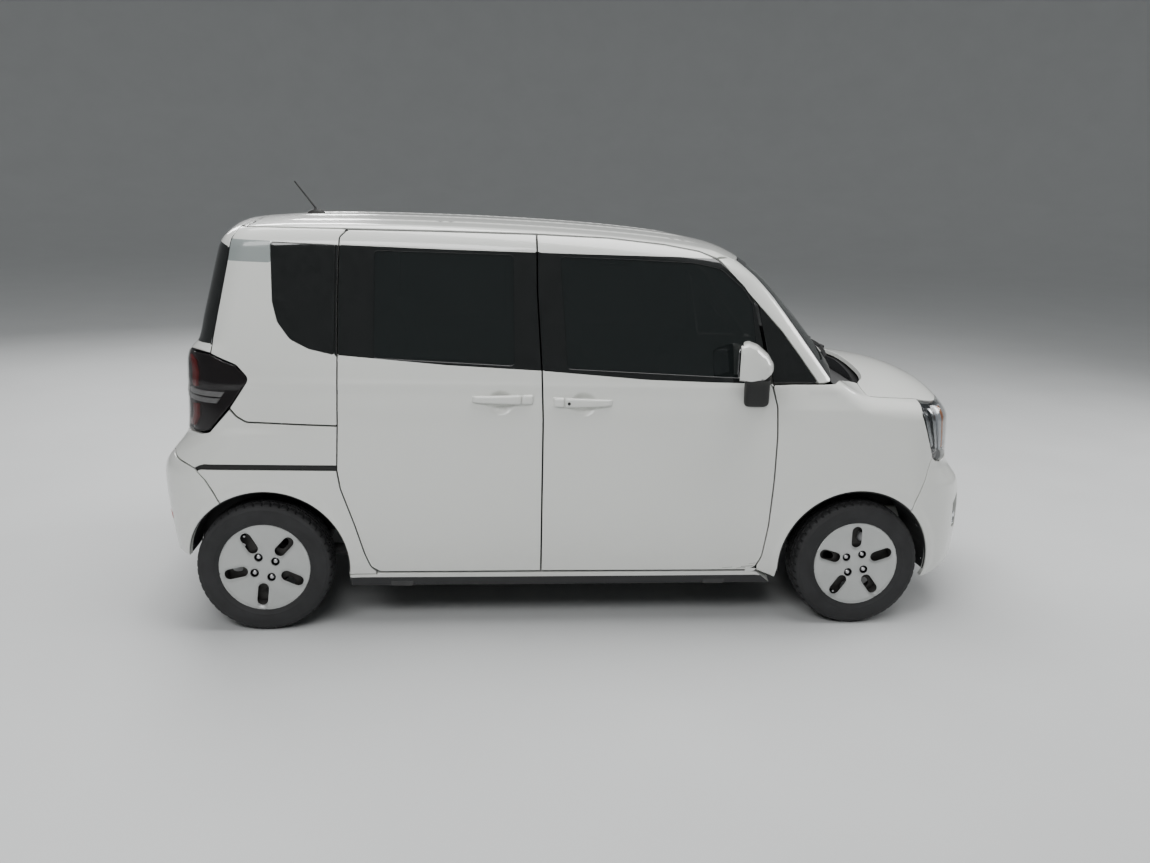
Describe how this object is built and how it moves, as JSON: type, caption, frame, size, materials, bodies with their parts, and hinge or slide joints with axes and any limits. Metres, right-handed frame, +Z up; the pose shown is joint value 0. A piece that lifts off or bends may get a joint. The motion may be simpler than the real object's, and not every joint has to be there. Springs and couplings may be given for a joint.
{
  "type": "small tall-box passenger car",
  "caption": "Tall-box light passenger car with a sliding rear door, hinged doors, tailgate and hood, steered front wheels and a modelled cabin.",
  "frame": {"origin": "centre of the bounding box, at ground level under the tyres", "axes": "+X forward along the car, +Y to the car's left, +Z up"},
  "size_m": [3.595, 1.97, 1.8376],
  "materials": {
    "white_paint": "gloss",
    "dark_glass": "gloss",
    "lamp_cover": "gloss",
    "black_plastic": "matte",
    "underbody_steel": "matte",
    "engine_casting": "satin",
    "seat_cloth": "matte",
    "tyre_rubber": "matte",
    "wheel_silver": "satin"
  },
  "bodies": {
    "car_body": {"body_shell": "white_paint", "front_left_fender": "white_paint", "front_right_fender": "white_paint", "front_bumper": "white_paint", "rear_bumper": "white_paint", "sliding_door": "white_paint", "sliding_door_glass": "dark_glass", "windscreen": "dark_glass", "fixed_side_windows": "dark_glass", "headlamp_left": "lamp_cover", "headlamp_right": "lamp_cover", "tail_lamp_left": "lamp_cover", "tail_lamp_right": "lamp_cover", "cowl_panel": "black_plastic", "slide_rail": "black_plastic", "wheel_arch_liners": "black_plastic", "dashboard": "black_plastic", "steering_wheel": "black_plastic", "fuel_tank": "black_plastic", "floor_pan": "underbody_steel", "front_subframe": "underbody_steel", "rear_axle": "underbody_steel", "exhaust": "underbody_steel", "engine_and_gearbox": "engine_casting", "front_seats": "seat_cloth", "rear_seat": "seat_cloth"},
    "front_right_door": {"front_right_door": "white_paint", "front_right_door_glass": "dark_glass"},
    "front_left_door": {"front_left_door": "white_paint", "front_left_door_glass": "dark_glass"},
    "rear_left_door": {"rear_left_door": "white_paint", "rear_left_door_glass": "dark_glass"},
    "tailgate": {"tailgate": "white_paint", "tailgate_glass": "dark_glass"},
    "hood": {"hood": "white_paint"},
    "front_left_knuckle": {"front_left_knuckle": "underbody_steel"},
    "front_right_knuckle": {"front_right_knuckle": "underbody_steel"},
    "front_left_wheel": {"front_left_tyre": "tyre_rubber", "front_left_rim": "wheel_silver"},
    "front_right_wheel": {"front_right_tyre": "tyre_rubber", "front_right_rim": "wheel_silver"},
    "rear_left_wheel": {"rear_left_tyre": "tyre_rubber", "rear_left_rim": "wheel_silver"},
    "rear_right_wheel": {"rear_right_tyre": "tyre_rubber", "rear_right_rim": "wheel_silver"}
  },
  "joints": [
    {"name": "front_right_door_hinge", "type": "hinge", "parent": "car_body", "child": "front_right_door", "pos_m": [0.805, -0.7975, 0.7], "axis": [0, 0, 1], "range_deg": [0, 65]},
    {"name": "front_left_door_hinge", "type": "hinge", "parent": "car_body", "child": "front_left_door", "pos_m": [0.805, 0.7975, 0.7], "axis": [0, 0, -1], "range_deg": [0, 65]},
    {"name": "rear_left_door_hinge", "type": "hinge", "parent": "car_body", "child": "rear_left_door", "pos_m": [-0.186, 0.7975, 0.7], "axis": [0, 0, -1], "range_deg": [0, 65]},
    {"name": "tailgate_hinge", "type": "hinge", "parent": "car_body", "child": "tailgate", "pos_m": [-1.372, 0, 1.688], "axis": [0, 1, 0], "range_deg": [0, 80]},
    {"name": "hood_hinge", "type": "hinge", "parent": "car_body", "child": "hood", "pos_m": [1.181, 0, 1.1], "axis": [0, -1, 0], "range_deg": [0, 50]},
    {"name": "steer_left", "type": "hinge", "parent": "car_body", "child": "front_left_knuckle", "pos_m": [1.195, 0.68, 0.2768], "axis": [0, 0, 1], "range_deg": [-33, 33]},
    {"name": "steer_right", "type": "hinge", "parent": "car_body", "child": "front_right_knuckle", "pos_m": [1.195, -0.68, 0.2768], "axis": [0, 0, 1], "range_deg": [-33, 33]},
    {"name": "front_left_wheel_spin", "type": "hinge", "parent": "front_left_knuckle", "child": "front_left_wheel", "pos_m": [1.195, 0.71, 0.2768], "axis": [0, 1, 0], "continuous": true},
    {"name": "front_right_wheel_spin", "type": "hinge", "parent": "front_right_knuckle", "child": "front_right_wheel", "pos_m": [1.195, -0.71, 0.2768], "axis": [0, 1, 0], "continuous": true},
    {"name": "rear_left_wheel_spin", "type": "hinge", "parent": "car_body", "child": "rear_left_wheel", "pos_m": [-1.325, 0.71, 0.2768], "axis": [0, 1, 0], "continuous": true},
    {"name": "rear_right_wheel_spin", "type": "hinge", "parent": "car_body", "child": "rear_right_wheel", "pos_m": [-1.325, -0.71, 0.2768], "axis": [0, 1, 0], "continuous": true}
  ],
  "couplings": [
    {"joint": "steer_right", "follows": "steer_left", "ratio": 1}
  ]
}
